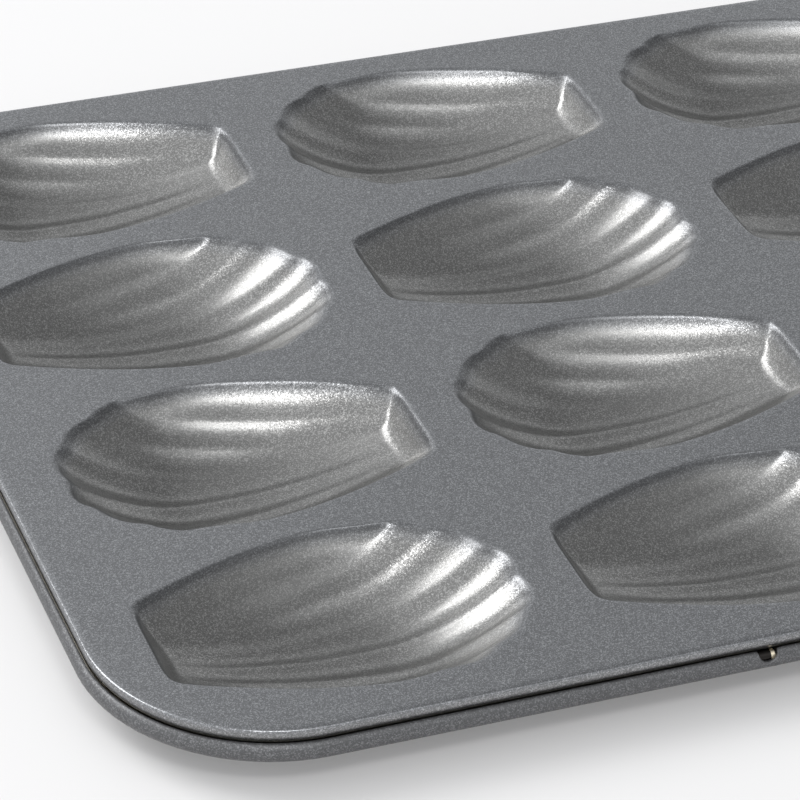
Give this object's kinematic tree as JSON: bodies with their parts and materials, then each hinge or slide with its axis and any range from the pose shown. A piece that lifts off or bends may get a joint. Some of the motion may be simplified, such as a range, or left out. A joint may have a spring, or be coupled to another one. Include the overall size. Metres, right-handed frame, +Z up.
{
  "type": "madeleine pan",
  "caption": "Shallow rectangular baking pan with rows of fluted shell-shaped cups and a rim rolled round a wire.",
  "frame": {"origin": "centre of the pan in plan, at the level of the deepest ridges of the cups, which rest on the worktop", "axes": "+X along the long side of the pan and the length of the cups, +Y across the rows of cups, +Z up, out of the cups"},
  "size_m": [0.373, 0.2522, 0.0148],
  "materials": {
    "pan_sheet": "dark grey non-stick coating with fine metallic flake, satin",
    "rim_wire": "drawn steel wire, inside the rolled rim"
  },
  "bodies": {
    "root": {"pan_sheet": "pan_sheet", "rim_wire": "rim_wire"}
  },
  "joints": []
}
